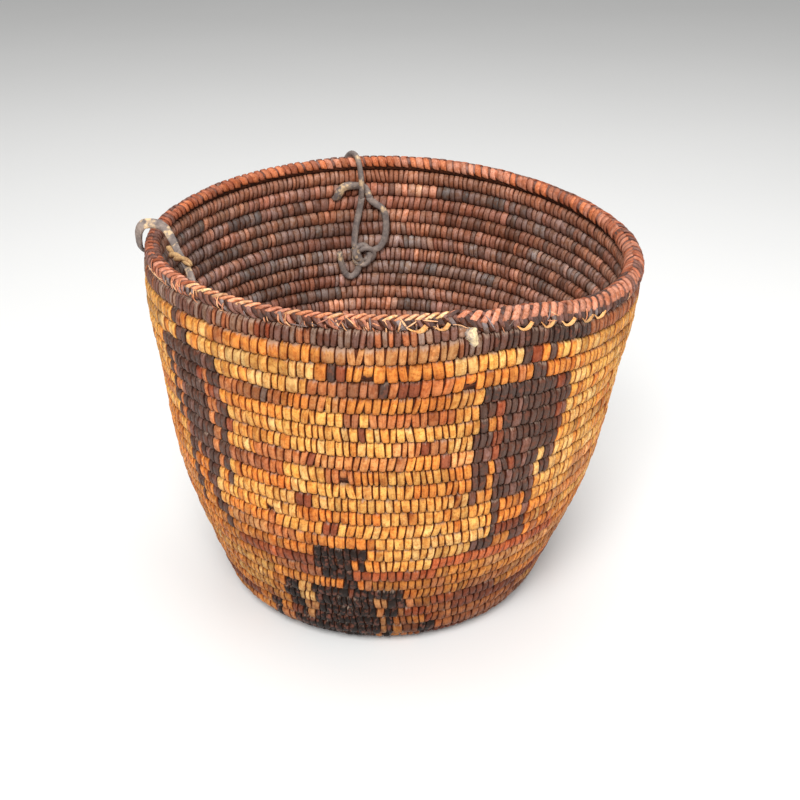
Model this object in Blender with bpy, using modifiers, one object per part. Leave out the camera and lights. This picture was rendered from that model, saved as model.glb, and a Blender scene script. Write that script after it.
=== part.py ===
"""A coiled basket: one bundle of fibres wound from a start knot into a flat base and up a flaring wall.

Metres, +Z up. The origin is the middle of the base's underside, and -Y is the front. The bundle winds
anticlockwise seen from above, and its thinned end lies at the front, under a braided rim. Three hide ties
hold on to the wall just under the rim: a stiff strap on the left, a thong that hangs inside at the back
and a worn-off stub at the front.
"""

import math

import bmesh
import bpy
import numpy as np
from mathutils import Vector

MM = 0.001
WELD = 1e-6

# The coil
COURSE_PITCH = 0.00625
COIL_GAP = 0.00095
FLAT_RADIUS = 0.0575
START_TURNS = 0.75
WALL_LOOPS = 23.5
RIM_LOOPS = 1
END_AZIMUTH = math.radians(-77.0)
WALL_POINTS = 24
BASE_POINTS = 16
JOINT_GAP = 0.0003
STANDING_CUT = 0.1

# The wall's lean from upright in degrees, at a count of courses above the edge of the flat base
WALL_LEANS = (
    (0.0, 90.0),
    (0.5, 74.0),
    (1.5, 53.0),
    (2.5, 19.0),
    (8.5, 19.0),
    (12.5, 10.0),
    (16.7, 5.0),
    (21.0, 10.0),
    (25.5, -4.0),
)

# How the basket stands out of true: its rim shifts and drops to the right, and rises front and back
RIM_SHIFT = 0.0054
RIM_TILT = 0.0023
RIM_SADDLE = 0.0024

# Smaller waves of the rim: the azimuth and spread in degrees, and how far the rim drops there
RIM_WAVES = (
    (-108.0, 24.0, 0.0013),
    (-65.0, 15.0, -0.0041),
    (95.0, 60.0, -0.0004),
)

# The start knot
KNOT_HEIGHT = 0.0050
KNOT_EDGE = 0.0005
KNOT_SIDES = 24
KNOT_STEP_BACK = 0.035

# The rim, whose braid has these radii at shares of the way round, back from the coil's end
BRAID_RADII = (
    (0.0, 0.0023),
    (0.25, 0.0030),
    (0.5, 0.0031),
    (0.78, 0.0040),
    (1.0, 0.0033),
)
BRAID_POINTS = 48
BRAID_STEP = math.radians(6.0)
TAPER_LOOPS = 0.05
TAPER_END = 0.7

# The hide ties
STRAP_WIDTH = 0.0048
STRAP_THICKNESS = 0.0018
STRAP_SPACING = 0.0020
STRAP_TWIST = math.radians(51.0)
THONG_RADIUS = 0.0012
THONG_SPACING = 0.0019
TIE_CLEARANCE = 0.0004
THROUGH_WALL = 2.3
HOLE_SIDES = 16
STUB_DEPTH = 0.0050
STUB_WIDTH = 0.0048
STUB_HEIGHT = 0.0056
STUB_EDGE = 0.0011
STUB_OUT = 0.0014
STUB_PLACE = (-74.7, -0.62)

# Where the rear tie goes through the wall: an azimuth in degrees and courses below the top one
HOLE_PLACE = (107.3, 1.5)

# Places on a route are an azimuth in degrees, courses below the top one, millimetres out from the
# coil's middle and, on the strap, a share of its full width
ROUTE_STEPS = 20
STRAP_ROUTE = (
    (188.0, -0.47, -0.5, 0.72),
    (188.0, -0.47, 3.0, 0.74),
    (188.6, -0.70, 5.6, 0.80),
    (190.0, -1.4, 6.5, 0.86),
    (191.0, -2.15, 5.4, 0.92),
    (191.3, -2.67, 2.8, 1.0),
    (191.5, -2.82, -0.5, 1.0),
    (191.7, -2.70, -3.2, 1.0),
    (192.2, -2.35, -5.4, 1.0),
    (193.8, -2.05, -6.8, 1.0),
    (197.5, -1.85, -7.6, 1.0),
    (202.5, -1.6, -8.0, 1.0),
    (207.5, -1.35, -8.0, 0.96),
    (211.3, -1.0, -7.8, 0.90),
    (214.0, -0.5, -7.3, 0.84),
    (215.3, 0.1, -6.0, 0.78),
    (215.6, 0.46, -3.6, 0.74),
    (215.6, 0.5, -0.5, 0.72),
)
REAR_TIE_ROUTE = (
    (99.9, 1.40, -6.1),
    (99.95, 1.0, -6.6),
    (100.0, 0.55, -7.1),
    (100.1, 0.0, -6.9),
    (100.3, -0.6, -5.9),
    (100.7, -1.2, -5.0),
    (101.2, -1.7, -2.9),
    (102.0, -1.87, 0.3),
    (102.8, -1.62, 3.5),
    (103.5, -1.0, 5.1),
    (104.3, -0.3, 4.7),
    (105.3, 0.5, 4.5),
    (106.4, 1.15, 4.5),
    (107.1, 1.45, 3.2),
    (*HOLE_PLACE, 0.9),
    (*HOLE_PLACE, -1.6),
    (107.1, 1.42, -3.6),
    (106.6, 1.05, -4.6),
    (105.6, 0.68, -4.4),
    (104.0, 0.52, -4.3),
    (102.0, 0.53, -4.3),
    (100.0, 0.56, -4.3),
    (98.9, 0.66, -4.4),
    (98.1, 0.95, -4.9),
    (97.5, 1.40, -6.1),
)
LEFT_STRAND_ROUTE = (
    (100.0, 1.74, -5.9),
    (100.6, 2.6, -5.7),
    (101.3, 3.7, -5.6),
)
RIGHT_STRAND_ROUTE = (
    (97.3, 1.74, -5.9),
    (95.6, 2.05, -5.8),
    (93.8, 2.7, -5.7),
    (92.7, 3.6, -5.6),
    (93.0, 4.4, -5.6),
)
SWING_PLACE = (98.7, 1.40, -6.1)
KNOT_PLACE = (99.2, 5.9, -5.6)
KNOT_RING_RADIUS = 0.0035
KNOT_RING_THICKNESS = 0.0034
KNOT_RING_STEPS = (24, 10)
LEFT_STRAND_ANGLE = 117.0
RIGHT_STRAND_ANGLE = 32.0
TAIL_ANGLE = 250.0
STRAIGHT_END = 0.0024

# The tail's turns, in millimetres to the side, up and in from the knot's middle
TAIL_BENDS = (
    (-3.4, -8.8, 0.0),
    (-6.2, -10.8, 0.3),
    (-9.0, -9.2, 0.6),
    (-10.6, -5.2, 0.8),
    (-11.4, -1.0, 1.0),
    (-12.0, 2.4, 1.4),
)

COIL_RADIUS = (COURSE_PITCH - COIL_GAP) / 2
WALL_COURSES = WALL_LEANS[-1][0]
END_TURNS = FLAT_RADIUS / COURSE_PITCH + WALL_COURSES
RIM_START = END_TURNS - RIM_LOOPS
WALL_START = RIM_START - WALL_LOOPS
BASE_HEIGHT = COIL_RADIUS * (1 - 2 * STANDING_CUT)
HALF_STEP = 0.5 / WALL_POINTS

# The base's points lie in step with its last one, which is half a step before the wall's start
BASE_END = WALL_START - HALF_STEP
BASE_START = BASE_END - (math.floor((BASE_END - START_TURNS) * BASE_POINTS) + 0.5) / BASE_POINTS

HIDE = ("hide", (0.30, 0.25, 0.20), 0.75)


def clear_scene():
    for old in list(bpy.data.objects):
        bpy.data.objects.remove(old)


def collection(name):
    made = bpy.data.collections.new(name)
    bpy.context.scene.collection.children.link(made)
    return made


def finish(name, colour, roughness):
    """A plain material of one colour, made once for each name."""
    made = bpy.data.materials.get(name)
    if made is None:
        made = bpy.data.materials.new(name)
        made.use_nodes = True
        shader = made.node_tree.nodes["Principled BSDF"]
        shader.inputs["Base Color"].default_value = (*colour, 1.0)
        shader.inputs["Roughness"].default_value = roughness
        shader.inputs["Metallic"].default_value = 0.0
    return made


def wall_profile():
    """The coil's line in section, from the flat base's edge to the top: courses, radii and heights."""
    steps_per_course = 32
    counts, leans = zip(*WALL_LEANS)
    steps = round(WALL_COURSES * steps_per_course)
    middle = (np.arange(steps) + 0.5) / steps_per_course
    lean = np.radians(np.interp(middle, counts, leans))
    length = COURSE_PITCH / steps_per_course
    courses = np.arange(steps + 1) / steps_per_course
    radii = FLAT_RADIUS + np.append(0, np.cumsum(np.sin(lean))) * length
    heights = BASE_HEIGHT + np.append(0, np.cumsum(np.cos(lean))) * length
    return courses, radii, heights


PROFILE = wall_profile()
TOP_RADIUS = PROFILE[1][-1]
TOP_HEIGHT = PROFILE[2][-1]


def section_at(turns):
    """Radius, height and lean of the coil's centre line after that many turns from the middle."""
    courses = turns - FLAT_RADIUS / COURSE_PITCH
    if courses <= 0:
        return turns * COURSE_PITCH, BASE_HEIGHT, math.pi / 2
    counts, leans = zip(*WALL_LEANS)
    radius = float(np.interp(courses, PROFILE[0], PROFILE[1]))
    height = float(np.interp(courses, PROFILE[0], PROFILE[2]))
    return radius, height, math.radians(float(np.interp(courses, counts, leans)))


def out_of_true(radius, height, azimuth):
    """The point of the basket as it stands, from its place on a true turned basket."""
    share = height / TOP_HEIGHT
    x = radius * math.cos(azimuth)
    y = radius * math.sin(azimuth)
    drop = RIM_TILT * share * x / TOP_RADIUS + RIM_SADDLE * share**2 * math.cos(2 * azimuth)
    for middle, spread, depth in RIM_WAVES:
        aside = (math.degrees(azimuth) - middle + 180) % 360 - 180
        drop += depth * share**4 * math.exp(-((aside / spread) ** 2))
    return Vector((x + RIM_SHIFT * share, y, height - drop))


def azimuth_at(turns):
    return END_AZIMUTH - 2 * math.pi * (END_TURNS - turns)


def thickness_at(turns):
    """The bundle's share of its full thickness: it thins out over the last stretch of the top course."""
    run = min(max((END_TURNS - turns) / TAPER_LOOPS, 0.0), 1.0)
    return TAPER_END + (1 - TAPER_END) * run


def beside_wall(turns, azimuth, above, out):
    """A point off the coil's line at that height of the wall, moved up the wall and square out of it."""
    radius, height, lean = section_at(turns)
    radius += above * math.sin(lean) + out * math.cos(lean)
    height += above * math.cos(lean) - out * math.sin(lean)
    return out_of_true(radius, height, azimuth)


def coil_point(turns, above=0.0, out=0.0):
    above -= COIL_RADIUS * (1 - thickness_at(turns))
    return beside_wall(turns, azimuth_at(turns), above, out)


def wall_point(azimuth_degrees, below, out):
    """A point beside the wall: courses below the top one, and square out from the coil's middle."""
    azimuth = math.radians(azimuth_degrees)
    behind = (END_AZIMUTH - azimuth) % (2 * math.pi) / (2 * math.pi)
    turns = END_TURNS - behind - max(below, 0.0)
    return beside_wall(turns, azimuth, max(-below, 0.0) * COURSE_PITCH, out)


def coil_joint(turns, half, way):
    """The end of a stretch of coil: half a gap off the middle of a straight run between two points."""
    before = coil_point(turns - half)
    after = coil_point(turns + half)
    return (before + after) / 2 + (after - before).normalized() * way * JOINT_GAP / 2


def coil_stretch(start, end, per_loop, free_end=False):
    """Points and thicknesses of a stretch of coil. Its ends lie square to it unless the last is free."""
    first = start + 0.5 / per_loop
    last = end if free_end else end - HALF_STEP
    count = round((last - first) * per_loop)
    turns = [first + (last - first) * index / count for index in range(count + 1)]
    points = [coil_joint(start, 0.5 / per_loop, 1)] + [coil_point(turn) for turn in turns]
    thick = [thickness_at(turn) for turn in [first, *turns]]
    if not free_end:
        points.append(coil_joint(end, HALF_STEP, -1))
        thick.append(thick[-1])
    return points, thick


def least_gap(points, radius, per_loop):
    """The least space between one loop of a tube and the next, from points a few millimetres apart."""
    parts = 8
    line = np.array(points)
    share = np.arange(parts)[:, None] / parts
    dense = np.concatenate([a + (b - a) * share for a, b in zip(line[:-1], line[1:])])
    loop = per_loop * parts
    shifts = range(loop // 2, loop + loop // 2)
    shifts = [shift for shift in shifts if shift < len(dense)]
    spaces = [np.linalg.norm(dense[shift:] - dense[:-shift], axis=1).min() for shift in shifts]
    return min(spaces) - 2 * radius


def tube(name, points, radius, look, home, thick=None, sides=0, closed=False, upright=False):
    """A round tube along the points; sides is the bevel resolution."""
    curve = bpy.data.curves.new(name, "CURVE")
    curve.dimensions = "3D"
    curve.twist_mode = "Z_UP" if upright else "MINIMUM"
    curve.bevel_depth = radius
    curve.bevel_resolution = sides
    curve.use_fill_caps = True
    spline = curve.splines.new("POLY")
    spline.points.add(len(points) - 1)
    for index, point in enumerate(points):
        spline.points[index].co = (*point, 1.0)
        spline.points[index].radius = thick[index] if thick else 1.0
    spline.use_cyclic_u = closed
    made = bpy.data.objects.new(name, curve)
    made.data.materials.append(finish(*look))
    home.objects.link(made)
    return made


def as_mesh(tube_object):
    """The same tube as a mesh with its caps welded, for cuts."""
    bpy.context.view_layer.update()
    graph = bpy.context.evaluated_depsgraph_get()
    mesh = bpy.data.meshes.new_from_object(tube_object.evaluated_get(graph))
    edit = bmesh.new()
    edit.from_mesh(mesh)
    bmesh.ops.remove_doubles(edit, verts=edit.verts, dist=WELD)
    bmesh.ops.recalc_face_normals(edit, faces=edit.faces)
    edit.to_mesh(mesh)
    edit.free()
    home = tube_object.users_collection[0]
    name = tube_object.name
    placed = tube_object.matrix_world.copy()
    parent = tube_object.parent
    bpy.data.objects.remove(tube_object)
    made = bpy.data.objects.new(name, mesh)
    made.parent = parent
    made.matrix_world = placed
    home.objects.link(made)
    return made


def cut(target, cutter):
    cutter.hide_render = True
    cutter.display_type = "WIRE"
    boolean = target.modifiers.new("cut_" + cutter.name, "BOOLEAN")
    boolean.operation = "DIFFERENCE"
    boolean.solver = "EXACT"
    boolean.object = cutter


def smooth_route(route, spacing):
    """Points a set distance apart on a smooth curve through a route; a fourth value rides along."""
    ends = [route[0] * 2 - route[1], *route, route[-1] * 2 - route[-2]]
    fine = []
    for before, start, end, after in zip(ends, ends[1:], ends[2:], ends[3:]):
        for step in range(ROUTE_STEPS):
            t = step / ROUTE_STEPS
            bend = (2 * before - 5 * start + 4 * end - after) * t**2
            turn = (3 * start - before - 3 * end + after) * t**3
            fine.append((2 * start + (end - before) * t + bend + turn) / 2)
    fine.append(route[-1])
    lengths = np.append(0, np.cumsum([(b.xyz - a.xyz).length for a, b in zip(fine, fine[1:])]))
    count = max(round(lengths[-1] / spacing), 2)
    marks = np.linspace(0, lengths[-1], count + 1)
    return [Vector(values) for values in zip(*(np.interp(marks, lengths, column) for column in zip(*fine)))]


def wall_route(places):
    """A route's points in space; the share of the width stays as each point's fourth value."""
    return [Vector((*wall_point(*place[:2], place[2] * MM), *place[3:])) for place in places]


def into(made, home):
    for old in made.users_collection:
        old.objects.unlink(made)
    home.objects.link(made)


def floor_cutter(home):
    """A slab under the floor plane, to cut the base flat where it stands."""
    side = 3 * FLAT_RADIUS
    depth = 4 * COIL_RADIUS
    bpy.ops.mesh.primitive_cube_add(size=1.0, location=(0, 0, -depth / 2))
    made = bpy.context.active_object
    made.name = "floor_cutter"
    made.scale = (side, side, depth)
    into(made, home)
    return made


def start_knot(home):
    """The tight knot of bent fibres at the middle of the base, which the coil leaves at a step."""
    curve = bpy.data.curves.new("start_knot", "CURVE")
    curve.dimensions = "2D"
    curve.fill_mode = "BOTH"
    curve.extrude = KNOT_HEIGHT / 2
    outline = curve.splines.new("POLY")
    outline.points.add(KNOT_SIDES - 1)
    for index, point in enumerate(outline.points):
        turns = BASE_START - KNOT_STEP_BACK + index / (KNOT_SIDES - 1)
        facet = 1 - math.cos(math.pi / BASE_POINTS)
        radius = max(turns, BASE_START) * COURSE_PITCH * (1 - facet) - COIL_RADIUS - JOINT_GAP
        azimuth = azimuth_at(turns)
        point.co = (radius * math.cos(azimuth), radius * math.sin(azimuth), 0.0, 1.0)
    outline.use_cyclic_u = True
    made = bpy.data.objects.new("start_knot", curve)
    made.location.z = KNOT_HEIGHT / 2
    home.objects.link(made)
    made = as_mesh(made)
    made.data.materials.append(finish("foundation", (0.42, 0.25, 0.12), 0.8))
    bevel = made.modifiers.new("softened_edges", "BEVEL")
    bevel.width = KNOT_EDGE
    bevel.segments = 2
    return made


def base_coil(home, cutters):
    points, thick = coil_stretch(BASE_START, WALL_START, BASE_POINTS)
    print("base_coil least gap, mm:", round(least_gap(points, COIL_RADIUS, BASE_POINTS) / MM, 3))
    look = ("base_splints", (0.45, 0.27, 0.13), 0.7)
    made = as_mesh(tube("base_coil", points, COIL_RADIUS, look, home, thick, sides=1, upright=True))
    cut(made, floor_cutter(cutters))
    return made


def wall_coil(home):
    points, thick = coil_stretch(WALL_START, RIM_START, WALL_POINTS)
    print("wall_coil least gap, mm:", round(least_gap(points, COIL_RADIUS, WALL_POINTS) / MM, 3))
    look = ("wall_splints", (0.72, 0.44, 0.15), 0.65)
    return as_mesh(tube("wall_coil", points, COIL_RADIUS, look, home, thick, sides=1, upright=True))


def rim_coil(home):
    """The top course, which thins out towards its end at the front."""
    points, thick = coil_stretch(RIM_START, END_TURNS, WALL_POINTS, free_end=True)
    look = ("dark_splints", (0.12, 0.09, 0.08), 0.7)
    return as_mesh(tube("rim_coil", points, COIL_RADIUS, look, home, thick, sides=1, upright=True))


def braid_section(turns):
    """Centre and radius of the braid over the top course, which is plumper on the right."""
    shares, radii = zip(*BRAID_RADII)
    radius = float(np.interp((END_TURNS - turns) / RIM_LOOPS, shares, radii))
    lift = COIL_RADIUS * thickness_at(turns) + radius + JOINT_GAP
    return coil_point(turns, above=lift), radius


def rim_braid(home):
    """The braided rim as one closed ring; it steps down where the top course begins."""
    step = BRAID_STEP / (2 * math.pi)
    spread = np.linspace(RIM_START + step, END_TURNS, BRAID_POINTS)
    sections = [braid_section(turns) for turns in spread]
    points = [centre for centre, _ in sections]
    widest = max(radius for _, radius in sections)
    thick = [radius / widest for _, radius in sections]
    look = ("rim_splints", (0.50, 0.27, 0.17), 0.6)
    return as_mesh(tube("rim_braid", points, widest, look, home, thick, sides=2, closed=True, upright=True))


def wall_block(name, place, out, size, home):
    """A block on the wall, sized radially, along the wall and upright."""
    azimuth, below = place
    middle = wall_point(azimuth, below, out)
    turn = (0, 0, math.radians(azimuth))
    bpy.ops.mesh.primitive_cube_add(size=1.0, location=middle, rotation=turn, scale=size)
    made = bpy.context.active_object
    made.name = name
    bpy.ops.object.transform_apply(location=False, rotation=False, scale=True)
    into(made, home)
    return made


def strap_slots(home):
    """The slots that the strap goes through: over the top course, and under it where it comes back."""
    share = STRAP_ROUTE[0][3]
    width = STRAP_WIDTH * share + 2 * TIE_CLEARANCE
    height = STRAP_THICKNESS * share + 2 * TIE_CLEARANCE
    size = (THROUGH_WALL * 2 * COIL_RADIUS, width, height)
    start = wall_block("strap_start_slot", STRAP_ROUTE[0][:2], 0, size, home)
    end = wall_block("strap_end_slot", STRAP_ROUTE[-1][:2], 0, size, home)
    return start, end


def thong_hole(home):
    """The round hole between two courses that the rear tie goes through."""
    azimuth, below = HOLE_PLACE
    bpy.ops.mesh.primitive_cylinder_add(
        vertices=HOLE_SIDES,
        radius=THONG_RADIUS + TIE_CLEARANCE,
        depth=THROUGH_WALL * 2 * COIL_RADIUS,
        location=wall_point(azimuth, below, 0),
        rotation=(0, math.pi / 2, math.radians(azimuth)),
    )
    made = bpy.context.active_object
    made.name = "thong_hole"
    into(made, home)
    return made


def left_strap(home):
    """A flat stiff strap that arches over the rim and comes back into the wall below it."""
    route = smooth_route(wall_route(STRAP_ROUTE), STRAP_SPACING)
    points = [place.xyz for place in route]
    thick = [place[3] for place in route]
    made = tube("left_strap", points, STRAP_THICKNESS / 2, HIDE, home, thick, sides=1)
    made.data.extrude = (STRAP_WIDTH - STRAP_THICKNESS) / 2
    spline = made.data.splines[0]
    for index, point in enumerate(spline.points):
        point.tilt = math.pi / 2 + STRAP_TWIST * index / (len(spline.points) - 1)
    return as_mesh(made)


def rear_tie(home):
    """The thong that holds on to the wall: over the rim, back in through the hole and along inside."""
    points = smooth_route(wall_route(REAR_TIE_ROUTE), THONG_SPACING)
    return as_mesh(tube("rear_tie", points, THONG_RADIUS, HIDE, home, sides=2))


def knot_point(side, up, inward=0.0):
    """A point beside the knot's middle: to the right as seen from inside, up, and away from the wall."""
    azimuth = math.radians(KNOT_PLACE[0])
    middle = wall_point(*KNOT_PLACE[:2], KNOT_PLACE[2] * MM)
    along = Vector((math.sin(azimuth), -math.cos(azimuth), 0))
    away = Vector((-math.cos(azimuth), -math.sin(azimuth), 0))
    return middle + along * side + Vector((0, 0, up)) + away * inward


def knot_end(angle_degrees):
    """The last straight stretch of a strand that meets the knot's ring squarely, from far to near."""
    near = KNOT_RING_RADIUS + KNOT_RING_THICKNESS / 2 + JOINT_GAP
    side = math.cos(math.radians(angle_degrees))
    up = math.sin(math.radians(angle_degrees))
    return [knot_point(side * reach, up * reach) for reach in (near + STRAIGHT_END, near)]


def swing_axis(home):
    """An empty on the line about which the hanging end of the rear tie swings."""
    made = bpy.data.objects.new("rear_tie_swing_axis", None)
    made.location = wall_point(*SWING_PLACE[:2], SWING_PLACE[2] * MM)
    home.objects.link(made)
    return made


def hang(made, axis):
    """Hold a finished piece on the swing axis, where it is."""
    bpy.context.view_layer.update()
    made.parent = axis
    made.matrix_parent_inverse = axis.matrix_world.inverted()
    return made


def hanging_end(home, axis):
    """Two strands down to the knot's ring, and the tail that curls up from it."""
    bends = [knot_point(*(value * MM for value in bend)) for bend in TAIL_BENDS]
    strands = (
        ("rear_tie_left_strand", wall_route(LEFT_STRAND_ROUTE) + knot_end(LEFT_STRAND_ANGLE)),
        ("rear_tie_right_strand", wall_route(RIGHT_STRAND_ROUTE) + knot_end(RIGHT_STRAND_ANGLE)),
        ("rear_tie_tail", knot_end(TAIL_ANGLE)[::-1] + bends),
    )
    for name, route in strands:
        points = smooth_route(route, THONG_SPACING)
        hang(as_mesh(tube(name, points, THONG_RADIUS, HIDE, home, sides=2)), axis)
    bpy.ops.mesh.primitive_torus_add(
        major_radius=KNOT_RING_RADIUS,
        minor_radius=KNOT_RING_THICKNESS / 2,
        major_segments=KNOT_RING_STEPS[0],
        minor_segments=KNOT_RING_STEPS[1],
        location=knot_point(0, 0),
        rotation=(0, math.pi / 2, math.radians(KNOT_PLACE[0])),
    )
    ring = bpy.context.active_object
    ring.name = "rear_tie_knot"
    ring.data.materials.append(finish(*HIDE))
    into(ring, home)
    hang(ring, axis)


def front_stub(home, cutters):
    """The worn end of a hide tie under the braid, and the pocket that it stands in."""
    size = (STUB_DEPTH, STUB_WIDTH, STUB_HEIGHT)
    made = wall_block("front_tie_stub", STUB_PLACE, STUB_OUT, size, home)
    made.data.materials.append(finish("pale_hide", (0.62, 0.53, 0.42), 0.8))
    bevel = made.modifiers.new("worn_edges", "BEVEL")
    bevel.width = STUB_EDGE
    bevel.segments = 2
    pocket_size = [side + 2 * TIE_CLEARANCE for side in size]
    return wall_block("stub_pocket", STUB_PLACE, STUB_OUT, pocket_size, cutters)


clear_scene()
BASKET = collection("coiled_basket")
CUTTERS = collection("cutters")
start_knot(BASKET)
base_coil(BASKET, CUTTERS)
WALL = wall_coil(BASKET)
TOP_COURSE = rim_coil(BASKET)
BRAID = rim_braid(BASKET)
START_SLOT, END_SLOT = strap_slots(CUTTERS)
THONG_HOLE = thong_hole(CUTTERS)
left_strap(BASKET)
rear_tie(BASKET)
hanging_end(BASKET, swing_axis(BASKET))
STUB_POCKET = front_stub(BASKET, CUTTERS)
cut(WALL, THONG_HOLE)
cut(WALL, END_SLOT)
cut(WALL, STUB_POCKET)
cut(TOP_COURSE, START_SLOT)
cut(TOP_COURSE, END_SLOT)
cut(TOP_COURSE, STUB_POCKET)
cut(BRAID, START_SLOT)
cut(BRAID, STUB_POCKET)
print("coil's top centre, mm:", [round(value / MM, 1) for value in coil_point(END_TURNS)])
print("swing axis, m:", [round(value, 5) for value in bpy.data.objects["rear_tie_swing_axis"].location])
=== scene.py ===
"""A coiled basket: a bundle of fibres wound into a base and wall and sewn together with split roots.

Metres, +Z up, -Y the front. The bundle winds anticlockwise seen from above and ends at the front, under a
braided rim. Three hide ties hold on to the wall just under the rim.
"""

import math

import bmesh
import bpy
import numpy as np
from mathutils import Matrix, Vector, noise


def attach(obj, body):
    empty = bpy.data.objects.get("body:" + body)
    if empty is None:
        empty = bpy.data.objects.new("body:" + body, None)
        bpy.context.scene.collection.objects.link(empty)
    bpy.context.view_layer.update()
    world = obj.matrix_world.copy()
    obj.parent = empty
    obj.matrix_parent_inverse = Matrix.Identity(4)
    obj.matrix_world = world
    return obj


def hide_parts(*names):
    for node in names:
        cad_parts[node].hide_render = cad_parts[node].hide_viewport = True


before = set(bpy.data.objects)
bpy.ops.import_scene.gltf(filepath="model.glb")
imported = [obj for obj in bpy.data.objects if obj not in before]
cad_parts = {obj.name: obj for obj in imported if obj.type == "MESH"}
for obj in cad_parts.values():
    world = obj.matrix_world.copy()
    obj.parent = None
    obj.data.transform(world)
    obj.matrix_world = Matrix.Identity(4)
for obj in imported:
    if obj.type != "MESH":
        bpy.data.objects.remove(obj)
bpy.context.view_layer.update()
bpy.ops.object.select_all(action="DESELECT")

# The camera: in front of the basket and a little above its rim, so that it looks down into the inside
# past the near edge.
bpy.ops.object.camera_add(location=(0.0080, -0.4335, 0.3058), rotation=(math.radians(62.27), 0, 0))
camera = bpy.context.object
camera.data.lens = 50.25
bpy.context.scene.camera = camera

# The bundle: bent grass and split rods, laid side by side and wound into a coil. It starts as a tight knot
# in the middle of the base, lies flat for nine rounds, climbs the wall and thins out at the front.
# Each stretch of it lies under the stitches that are sewn round it, and shows only between them.
MM = 0.001
COURSE_PITCH = 0.00625
FLAT_RADIUS = 0.0575
FLAT_TURNS = FLAT_RADIUS / COURSE_PITCH
BASE_HEIGHT = 0.00212
END_DEGREES = -77.0
END_AZIMUTH = math.radians(END_DEGREES)
END_TURNS = 34.7
TOP_START = 33.7
WALL_START = 10.2
KNOT_END = 0.72
KNOT_START = 0.12
# The wall's lean from upright in degrees, at a count of courses above the edge of the flat base
WALL_LEANS = (
    (0.0, 90.0),
    (0.5, 74.0),
    (1.5, 53.0),
    (2.5, 19.0),
    (8.5, 19.0),
    (12.5, 10.0),
    (16.7, 5.0),
    (21.0, 10.0),
    (25.5, -4.0),
)
RIM_SHIFT = 0.0054
RIM_TILT = 0.0023
RIM_SADDLE = 0.0024
# Dips in the rim: the middle and half width of each in degrees, and its depth
RIM_WAVES = ((-108.0, 24.0, 0.0013), (-65.0, 15.0, -0.0041), (95.0, 60.0, -0.0004))
TAPER_TURNS = 0.05
TAPER_END = 0.7
TAIL_TURNS = 6 / 360
TAIL_END = 0.2
THIN_SINK = 0.42
BUNDLE_HALF_HEIGHT = 0.0034
BUNDLE_HALF_DEPTH = 0.0025
STEPS_A_COURSE = 32
# How far above the ground the bundle and the stitches round it are flattened
BUNDLE_UNDERSIDE = 0.0003
STITCH_UNDERSIDE = 0.00008

counts, leans = np.array(WALL_LEANS).T
steps = np.arange(round(counts[-1] * STEPS_A_COURSE)) + 0.5
lean_there = np.radians(np.interp(steps / STEPS_A_COURSE, counts, leans))
profile_courses = np.arange(len(steps) + 1) / STEPS_A_COURSE
profile_radii = FLAT_RADIUS + np.append(0, np.cumsum(np.sin(lean_there))) * COURSE_PITCH / STEPS_A_COURSE
profile_heights = BASE_HEIGHT + np.append(0, np.cumsum(np.cos(lean_there))) * COURSE_PITCH / STEPS_A_COURSE


def within_half_turn(degrees):
    """The same angle between -180 and 180 degrees."""
    return (degrees + 180) % 360 - 180


def ring_angles(count):
    return np.linspace(0, 2 * math.pi, count, endpoint=False)


def unit(vectors):
    return vectors / np.linalg.norm(vectors, axis=-1, keepdims=True)


def beside_wall(turns, azimuth, above=0.0, out=0.0):
    """Points off the coil's line after that many turns: moved up the wall and square out of it."""
    courses = turns - FLAT_TURNS
    flat = courses <= 0
    lean = np.where(flat, math.pi / 2, np.radians(np.interp(courses, counts, leans)))
    radius = np.where(flat, turns * COURSE_PITCH, np.interp(courses, profile_courses, profile_radii))
    height = np.where(flat, BASE_HEIGHT, np.interp(courses, profile_courses, profile_heights))
    radius = radius + above * np.sin(lean) + out * np.cos(lean)
    height = height + above * np.cos(lean) - out * np.sin(lean)
    share = height / profile_heights[-1]
    x = radius * np.cos(azimuth)
    y = radius * np.sin(azimuth)
    drop = RIM_TILT * share * x / profile_radii[-1] + RIM_SADDLE * share**2 * np.cos(2 * azimuth)
    for middle, spread, depth in RIM_WAVES:
        aside = within_half_turn(np.degrees(azimuth) - middle)
        drop = drop + depth * share**4 * np.exp(-((aside / spread) ** 2))
    return np.stack(np.broadcast_arrays(x + RIM_SHIFT * share, y, height - drop), axis=-1)


def azimuth_at(turns):
    return END_AZIMUTH - 2 * math.pi * (END_TURNS - turns)


def thickness_at(turns):
    """The bundle's share of its full thickness, which it loses at the top course's end and in its tail."""
    full = TAPER_END + (1 - TAPER_END) * np.clip((END_TURNS - turns) / TAPER_TURNS, 0, 1)
    return full - (TAPER_END - TAIL_END) * np.clip((turns - END_TURNS) / TAIL_TURNS, 0, 1)


def beside_coil(turns, above=0.0, out=0.0):
    """Points off the bundle's middle, which sinks towards the course below where the bundle is thin."""
    above = above - COURSE_PITCH * THIN_SINK * (1 - thickness_at(turns))
    return beside_wall(turns, azimuth_at(turns), above, out)


def linear(colour):
    """A colour as the eye names it, 0 to 255, in the values that a shader takes."""
    share = np.array(colour, float) / 255
    return np.where(share <= 0.04045, share / 12.92, ((share + 0.055) / 1.055) ** 2.4)


def opaque(colour):
    return (*linear(colour), 1)


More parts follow.
